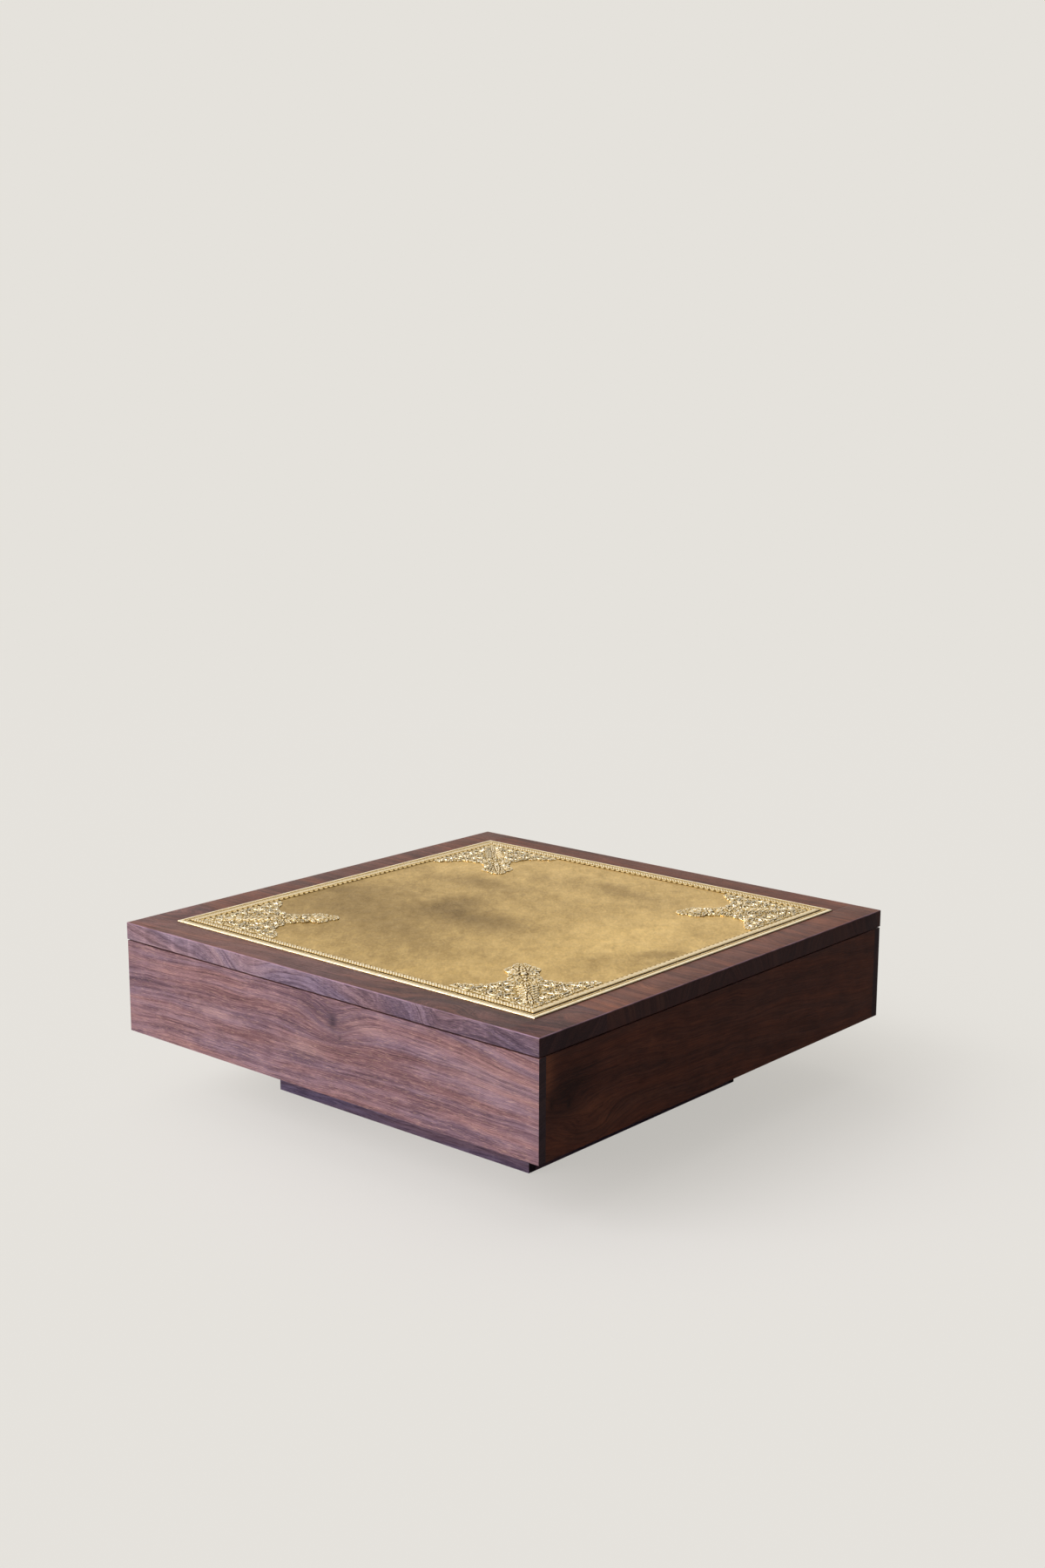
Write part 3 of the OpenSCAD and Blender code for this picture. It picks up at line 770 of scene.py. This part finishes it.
def draw_ornament(step):
    """The relief of one corner, over the patch inside the border."""
    relief = Relief(border_mm - 1, ORNAMENT_REACH, step)
    for scroll in SCROLLS:
        relief.scroll(*scroll)
    for leaf in LEAVES:
        relief.leaf(*leaf)
    for root in FEATHER_ROOTS:
        scale = root / FEATHER_FULL
        relief.spray(root, [(off, scale * length, scale**0.5 * width) for off, length, width in FEATHER], 4.2)
    relief.spray(SPINE_ROOT, SPINE, 4.8)
    relief.spray(FINIAL_ROOT, FINIAL, 4.3)
    for k in range(BLOOM_LEAVES):
        heading = radians(45 + 360 / BLOOM_LEAVES * k)
        base, tip = ((BLOOM_AT + r * cos(heading), BLOOM_AT + r * sin(heading)) for r in BLOOM_REACH)
        relief.leaf(base, tip, 7.5, 4.1, 0, 3)
    relief.flower((BLOOM_AT, BLOOM_AT), BLOOM, BLOOM_LEAVES, 4.8, 45)
    relief.bead((BOSS_AT, BOSS_AT), BOSS, relief_mm)
    inside = (outside_ornament(relief.u, relief.v) < -1.5) & (relief.v > border_mm + 2)
    relief.fill(inside, 1.2, 5)
    relief.mirror()
    return relief


def ornament_pieces(material, step=0.75):
    """The four corner ornaments. Each sinks under the sheet around its leaves."""
    relief = draw_ornament(step)
    u, v = relief.u, relief.v
    out = outside_ornament(u, v)
    bare = np.clip((relief.gap - BARE_FROM) / BARE_WIDTH, 0, 1)
    rim = np.clip((outside_cut(u, v) - RIM_FROM) / RIM_WIDTH, 0, 1)
    edge = np.clip((border_mm + EDGE_LAP - np.minimum(u, v)) / EDGE_LAP, 0, 1)
    level = np.where(relief.height > 0.05, relief.height + GROUND, GROUND - BARE_DEPTH * bare * rim)
    seats = np.min([np.hypot(u - a, v - b) for a, b in PINS], axis=0)
    level = np.where(seats < PIN_SEAT, PIN_LEVEL, level)
    level = np.minimum(level, relief_mm) * (1 - edge) - EDGE_DEPTH * edge
    # crest values for the brass's painted shade in the hollows and painted highlights on the crests
    hollow = crest(level, 4, 2.8) - 0.03
    corner_out = (out[:-1, :-1] + out[1:, 1:]) / 2
    kept = corner_out < OUTLINE_MARGIN
    for turn, corner in enumerate(CORNERS):
        x, y = quarter_turn((u - half_mm) * MM, (v - half_mm) * MM, turn)
        mesh = relief_mesh("ornament_" + corner, x, y, sheet_level + level * MM, kept, table_top, hollow)
        new_piece("ornament_" + corner, mesh, material, "relief_brass", "brass_ornament_" + corner)


# ======== borders and sheet ========

# the border's mouldings, from its outer edge inwards: widths, and heights above the sheet
LIP, RIB, GROOVE, ROPE = 9, 5, 4, 12.5
LIP_HEIGHT, RIB_HEIGHT, ROPE_HEIGHT, FILLET_HEIGHT = 2.0, 1.6, 3.5, 1.8
FILLET_LAP = 2  # how far the fillet reaches under the rope
FILLET_TAPER, FILLET_EDGE = 4, 0.2  # the fillet thins out over this width, down to this share
GROOVE_LEVEL, FILLET_LEVEL = 0.35, 0.03  # the lowest points outside the fillet, and within it
ROPE_PITCH = 7.0
ROPE_LEAN = 1.35  # how far a strand slants from one side of the rope to the other, in pitches
STRAND_LOW = 0.55  # share of the rope's height that is left between two strands
MITRE_LAND = 5  # the rope is plain at a mitre, and its strands are whole this far from it
BEAD_PITCH = 4.4
BEAD_LOW = 0.25  # share of the rib's height that is left between two beads
DOT_PITCH = 14.0
DOT_AT = 3.4  # the punched dots' middles, from the rope
DOT_LONG, DOT_WIDE = 3.0, 2.6  # half sizes of a dot, along the strip and across it
# the first value lifts the lip's crest value, painting a highlight along it
LIP_HIGHLIGHT, LIP_SHARE = 0.70, 0.8  # the lip's least crest value, over this share of its width


def dome(d, start, width):
    """A round back of height 1 across a moulding."""
    return np.sqrt(np.clip(1 - ((d - start) * 2 / width - 1) ** 2, 0, None))


def border_height(x, d):
    """Height of the border above the sheet, at x along the strip and d from its outer edge."""
    rope_at = LIP + RIB + GROOVE
    fillet_at = rope_at + ROPE
    to_mitre = half_mm - d - np.abs(x)
    lip = LIP_HEIGHT * dome(d, 0, LIP)
    bead = BEAD_LOW + (1 - BEAD_LOW) * np.abs(np.cos(pi * x / BEAD_PITCH)) ** 0.7
    rib = RIB_HEIGHT * dome(d, LIP, RIB) ** 0.6 * bead
    across = (d - rope_at) / ROPE - 0.5
    lay = x / ROPE_PITCH + ROPE_LEAN * across + 0.12 * np.sin(2 * pi * across)
    strand = np.abs(np.sin(pi * lay)) ** 0.65
    plain = np.clip(1 - to_mitre / MITRE_LAND, 0, 1)
    strand = np.maximum(STRAND_LOW + (1 - STRAND_LOW) * strand, plain)
    rope = ROPE_HEIGHT * dome(d, rope_at, ROPE) ** 0.75 * strand
    dot_x = (x / DOT_PITCH - np.round(x / DOT_PITCH)) * DOT_PITCH
    dot_y = d - fillet_at - DOT_AT
    dot = np.exp(-((dot_x / DOT_LONG) ** 2 + (dot_y / DOT_WIDE) ** 2) ** 2)
    taper = np.clip((border_mm - d) / FILLET_TAPER, FILLET_EDGE, 1)
    fillet = np.where(d > fillet_at - FILLET_LAP, FILLET_HEIGHT * (1 - dot), 0) * taper
    ground = np.where(d < fillet_at - FILLET_LAP, GROOVE_LEVEL, FILLET_LEVEL)
    return np.maximum.reduce([lip, rib, rope, fillet, ground])


def border_pieces(material, along=1.0, across=0.8):
    """The four mitred border strips."""
    share, d = np.meshgrid(np.linspace(-1, 1, round(2 * half_mm / along) + 1),
                           np.linspace(0, border_mm, round(border_mm / across) + 1), indexing="ij")
    x_mm = share * (half_mm - d)
    height = border_height(x_mm, d)
    # crest values for the brass's painted shade and highlights, with a painted highlight forced along the lip
    hollow = np.maximum(crest(height, 4, 2.3), np.where(d < LIP_SHARE * LIP, LIP_HIGHLIGHT, 0))
    kept = np.ones((height.shape[0] - 1, height.shape[1] - 1), bool)
    for turn, side in enumerate(SIDES):
        x, y = quarter_turn(x_mm * MM, (d - half_mm) * MM, turn)
        mesh = relief_mesh("border_" + side, x, y, sheet_level + height * MM, kept, table_top, hollow)
        new_piece("border_" + side, mesh, material, "relief_brass", "brass_border_" + side)


def sheet_piece(material, step=5.0, planish_mm=0.09, waves=26):
    """The plain sheet, beaten a little uneven, cut back under the corner ornaments."""
    random = np.random.default_rng(7)
    span = sheet_half / MM
    axis = np.linspace(-span, span, round(2 * span / step) + 1)
    x, y = np.meshgrid(axis, axis, indexing="ij")
    beaten = np.zeros_like(x)
    for _ in range(waves):
        heading, phase = random.uniform(0, 2 * pi, 2)
        length = random.uniform(45, 170)
        beaten += np.sin(2 * pi * (x * cos(heading) + y * sin(heading)) / length + phase)
    beaten *= planish_mm / np.sqrt(waves / 2)
    u, v = half_mm - np.abs(x), half_mm - np.abs(y)
    out = outside_cut(u, v)
    calm = np.clip(np.minimum(out - SHEET_UNDER, np.minimum(u, v) - border_mm) / 25, 0, 1)
    kept = (out[:-1, :-1] + out[1:, 1:] + out[:-1, 1:] + out[1:, :-1]) / 4 > 0
    mesh = relief_mesh("brass_field", x * MM, y * MM, sheet_level + beaten * calm * MM, kept, table_top)
    new_piece("brass_field", mesh, material, "plain_brass", "brass_sheet")


# ======== wooden pieces ========

X, Y, Z = 0, 1, 2

# planks from the front to the back: seed, place of the tree's middle, tilt, tint, wave
PLANK_WOOD = [
    (1.7, (0.12, -0.10), 0.10, (0.98, 0.96, 0.92, 1), 1.2),
    (9.4, (-0.25, -0.08), -0.04, (1.02, 0.86, 0.64, 1), 0.8),
    (4.2, (0.30, -0.12), 0.03, (0.84, 0.72, 0.56, 1), 0.9),
    (12.8, (-0.28, -0.15), 0.03, (0.94, 0.78, 0.60, 1), 0.7),
    (6.5, (0.22, -0.09), -0.03, (0.86, 0.70, 0.52, 1), 1.0),
    (15.1, (-0.32, -0.12), 0.03, (0.86, 0.64, 0.42, 1), 0.8),
]
# painted cool reflection on the top's front and back edges
PLANK_EDGE_REFLECTION = (1.30, 1.90, 2.45, 1)
PLANK_KNOTS = {
    0: [(0.500, -0.40, 0.028, 0.1), (0.300, -0.50, 0.022, 0.05), (-0.180, -0.55, 0.024, 0.0)],
    1: [(0.500, -0.20, 0.016, 0.0)],
}
PLANK_PATCHES = {
    0: [(0.50, -0.50, 0.26, 0.10, -0.7), (-0.30, -0.50, 0.2, 0.05, 0.2), (0.49, -0.40, 0.03, 0.02, 0.3)],
    1: [(0.500, -0.20, 0.040, 0.012, 0.7)],
}


def plank_pieces():
    for index, node in enumerate(PLANKS):
        seed, log, lean, tint, wave = PLANK_WOOD[index % len(PLANK_WOOD)]
        material = wood("plank_wood_" + str(index + 1), node, X, Z, seed, log, lean,
                        PLANK_KNOTS.get(index, ()), PLANK_PATCHES.get(index, ()), tint, wave,
                        edge_tint=PLANK_EDGE_REFLECTION, end_dark=0.65)
        low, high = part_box(node)
        mesh = plank_mesh("plank_" + str(index + 1), low.y, high.y)
        new_piece("plank_" + str(index + 1), mesh, material, "top_wood", node)


BOARD_EDGE, PANEL_ARRIS = 0.8 * MM, 0.5 * MM  # rounding of boards, and of the panels and felt


def dress(names, material, edge=0.0):
    """Gives CAD nodes a material and, if they show, rounded edges."""
    for name in names:
        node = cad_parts[name]
        node.data.materials.clear()
        node.data.materials.append(material)
        if edge:
            weld = node.modifiers.new("weld", "WELD")
            weld.merge_threshold = 0.01 * MM
            bevel = node.modifiers.new("bevel", "BEVEL")
            bevel.width, bevel.segments, bevel.limit_method = edge, 3, "ANGLE"
            bevel.angle_limit = radians(40)
            bevel.harden_normals = True


def named(*starts):
    return [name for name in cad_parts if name.startswith(starts)]


def carcass_pieces():
    """The carcass and plinth boards: each from its own part of the tree."""
    # the front board's blue tint is painted cool light on the lit front
    front = wood("front_wood", "front_board", X, Y, 3.3, (-0.30, 0.12), 0.02,
                 [(0.046, 0.278, 0.021, 0.95), (0.064, 0.252, 0.007, 0.6), (0.570, 0.350, 0.055, 0.0)],
                 [(-0.27, 0.228, 0.055, 0.008, 0.7), (-0.03, 0.214, 0.05, 0.016, 0.6),
                  (0.13, 0.285, 0.04, 0.010, 0.6), (0.43, 0.262, 0.12, 0.035, 0.35),
                  (0.02, 0.305, 0.08, 0.020, -0.5)],
                 (1.35, 1.73, 2.04, 1), 0.8, fleck=0.27)
    # the right board's dark tint is painted shade on the side away from the light
    right = wood("right_wood", "right_board", Y, X, 8.1, (-0.22, -0.10), -0.10,
                 [(-0.500, 0.235, 0.014, 0.9), (-0.455, 0.222, 0.012, 0.9), (-0.400, 0.160, 0.030, 0.0)],
                 [(-0.510, 0.295, 0.016, 0.045, 1.2), (-0.400, 0.200, 0.050, 0.016, 0.7),
                  (-0.360, 0.165, 0.050, 0.012, 0.7), (-0.440, 0.260, 0.050, 0.030, -1.0)],
                 (0.60, 0.42, 0.25, 1), 1.1, 0.7)
    back = wood("back_wood", "back_board", X, Y, 11.6, (0.25, -0.12), -0.02,
                [(-0.25, 0.20, 0.016, 0.6)], (), (1.05, 0.98, 0.96, 1), 0.9)
    left = wood("left_wood", "left_board", Y, X, 5.9, (-0.24, 0.14), 0.03, (),
                [(0.1, 0.25, 0.1, 0.02, 0.4)], (1.0, 0.92, 0.90, 1), 0.9, 0.9)
    for side, material in zip(SIDES, (front, right, back, left)):
        dress([side + "_board"], material, BOARD_EDGE)
    for side, along, face, seed in zip(SIDES, (X, Y, X, Y), (Y, X, Y, X), (2.2, 7.7, 13.3, 18.9)):
        # the plinths' blue tint is painted cool light
        material = wood("plinth_wood_" + side, "plinth_" + side, along, face, seed, (0.3, 0.1), 0.02,
                        tint=(0.85, 1.30, 2.05, 1), wave=0.6, contrast=0.4)
        dress(["plinth_" + side], material, BOARD_EDGE)
    timber = wood("timber_wood", "top_batten_2", X, Z, 21.0, (0.3, -0.2), 0.01,
                  tint=(1.5, 1.45, 1.25, 1), wave=0.5, contrast=0.5)
    dress(named("corner_post_", "top_cleat_", "top_batten_", "base_cleat_", "plinth_block_",
                "plinth_cleat_"), timber, BOARD_EDGE)


# ======== lights and camera ========

PAPER = rgb(229, 226, 220)
KEY_TOWARDS = Vector((-0.40, -0.82, 0.52))
KEY_COLOUR = (0.96, 0.96, 1.0)
KEY_STRENGTH = 1.9
KEY_SOFTNESS = radians(44)
# the room: a dim side and a bright one, which lies towards the left, the front and above
DIM = (0.045, 0.042, 0.04, 1)
BRIGHT = (0.80, 0.78, 0.76, 1)
BRIGHT_TOWARDS = Vector((-0.70, -0.42, 0.58))
# panels of light seen in reflections: direction, reach in radians, colour
PANELS = [
    (Vector((-0.45, 0.86, 0.24)), 0.50, (0.96, 0.93, 0.86, 1)),
    (Vector((-0.30, -0.95, 0.02)), 0.70, (2.00, 1.96, 2.40, 1)),
]
# how much of the floor's tone is lit, and so takes shadows: under the table, and away from it. The rest is
# painted light, a glow of the paper colour.
FLOOR_SHARE = (0.36, 0.06)
FLOOR_FADE = (0.52, 1.12)
SHADOW_MIDDLE = (0.20, 0.02, 0)
FLOOR_BOUNCE = (0.30, 0.29, 0.28, 1)
FLOOR_EDGE = (0.35, 0.9)  # where the floor starts and ends its fade into the paper, by its reach
PANEL_EDGE = (1.6, 0.4)  # where a panel of light starts and reaches its full strength, by its reach


def build_world():
    """Paper-coloured to the camera, and a room with soft panels of light to everything else."""
    world = bpy.data.worlds.new("studio")
    world.use_nodes = True
    s = Shader(world.node_tree)
    direction = s.node("TexCoord", {}, out="Generated")

    def facing(towards):
        return s.node("VectorMath", {0: direction, 1: towards.normalized()}, out="Value",
                      operation="DOT_PRODUCT")

    room = s.mix(s.step(facing(BRIGHT_TOWARDS), -0.3, 0.6), DIM, BRIGHT)
    for towards, reach, colour in PANELS:
        outer, inner = (cos(share * reach) for share in PANEL_EDGE)
        room = s.mix(s.step(facing(towards), outer, inner), room, colour)
    lit = s.node("Background", {0: room, 1: 1.0})
    paper = s.node("Background", {0: PAPER, 1: 1.0})
    seen = s.node("LightPath", {}, out="Is Camera Ray")
    both = s.node("MixShader", {0: seen, 1: lit, 2: paper})
    world.node_tree.links.new(both, world.node_tree.nodes["World Output"].inputs[0])
    bpy.context.scene.world = world


def build_key():
    light = bpy.data.lights.new("key", "SUN")
    light.energy, light.angle, light.color = KEY_STRENGTH, KEY_SOFTNESS, KEY_COLOUR
    key = bpy.data.objects.new("key", light)
    key.rotation_euler = KEY_TOWARDS.to_track_quat("Z", "Y").to_euler()
    bpy.context.scene.collection.objects.link(key)


def build_floor(reach=9.0, sides=96):
    """A pale floor that fades into the paper colour far from the table. To the camera, most of its tone is a
    painted glow of the paper colour, which keeps its shadows faint, fainter away from the table; to other
    rays it is darker, FLOOR_BOUNCE.
    """
    mesh = bpy.data.meshes.new("floor")
    ring = [(reach * cos(2 * pi * k / sides), reach * sin(2 * pi * k / sides), 0) for k in range(sides)]
    mesh.from_pydata(ring, [], [list(range(sides))])
    floor = bpy.data.objects.new("floor", mesh)
    bpy.context.scene.collection.objects.link(floor)
    material, s, place = new_material("floor_paper")
    grain = s.noise(place, 400.0)
    tone = s.mix(s.step(grain, 0.3, 0.7), rgb(231, 228, 222), rgb(235, 232, 226))
    lit = s.node("BsdfDiffuse", {0: tone})
    glow = s.node("Emission", {0: PAPER, 1: 1.0})
    away = s.node("VectorMath", {0: place, 1: SHADOW_MIDDLE}, out="Value", operation="DISTANCE")
    shown = s.node("MixShader", {0: s.step(away, *FLOOR_FADE, *FLOOR_SHARE), 1: glow, 2: lit})
    bounce = s.node("BsdfDiffuse", {0: FLOOR_BOUNCE})
    seen = s.node("LightPath", {}, out="Is Camera Ray")
    matt = s.node("MixShader", {0: seen, 1: bounce, 2: shown})
    fade = s.step(away, *[share * reach for share in FLOOR_EDGE])
    clear = s.node("BsdfTransparent", {})
    both = s.node("MixShader", {0: fade, 1: matt, 2: clear})
    s.tree.links.new(both, s.tree.nodes["Material Output"].inputs[0])
    mesh.materials.append(material)


CAMERA_PLACE = Vector((2.583, -2.952, 1.434))
CAMERA_YAW = radians(130.80)
CAMERA_PITCH = radians(-11.624)
CAMERA_ROLL = radians(0.195)
CAMERA_LENS, CAMERA_SENSOR, CAMERA_FAR = 46.70, 36, 100


def build_camera():
    heading = Vector((cos(CAMERA_PITCH) * cos(CAMERA_YAW), cos(CAMERA_PITCH) * sin(CAMERA_YAW),
                      sin(CAMERA_PITCH)))
    right = heading.cross(Vector((0, 0, 1))).normalized()
    up = right.cross(heading)
    turned = cos(CAMERA_ROLL) * right + sin(CAMERA_ROLL) * up
    upright = cos(CAMERA_ROLL) * up - sin(CAMERA_ROLL) * right
    data = bpy.data.cameras.new("camera")
    data.lens, data.sensor_width, data.clip_end = CAMERA_LENS, CAMERA_SENSOR, CAMERA_FAR
    camera = bpy.data.objects.new("camera", data)
    axes = Matrix((turned, upright, -heading)).transposed().to_4x4()
    camera.matrix_world = Matrix.Translation(CAMERA_PLACE) @ axes
    bpy.context.scene.collection.objects.link(camera)
    bpy.context.scene.camera = camera


# ======== the scene ========

build_camera()
build_world()
build_key()
build_floor()

plank_pieces()
carcass_pieces()
sheet_piece(sheet_brass())
border_pieces(relief_brass("border_brass", "crest", 0.36))
ornament_pieces(relief_brass("chased_brass", "crest"))
dress(["brass_pins"], relief_brass("pin_brass", None))
dress(["panel_core", "base_panel"], plywood(), PANEL_ARRIS)
dress(named("glide_"), felt(), PANEL_ARRIS)
dress(named("top_screws", "carcass_screws", "base_screws", "plinth_screws"), zinc())

bpy.context.scene.view_settings.view_transform = "Standard"
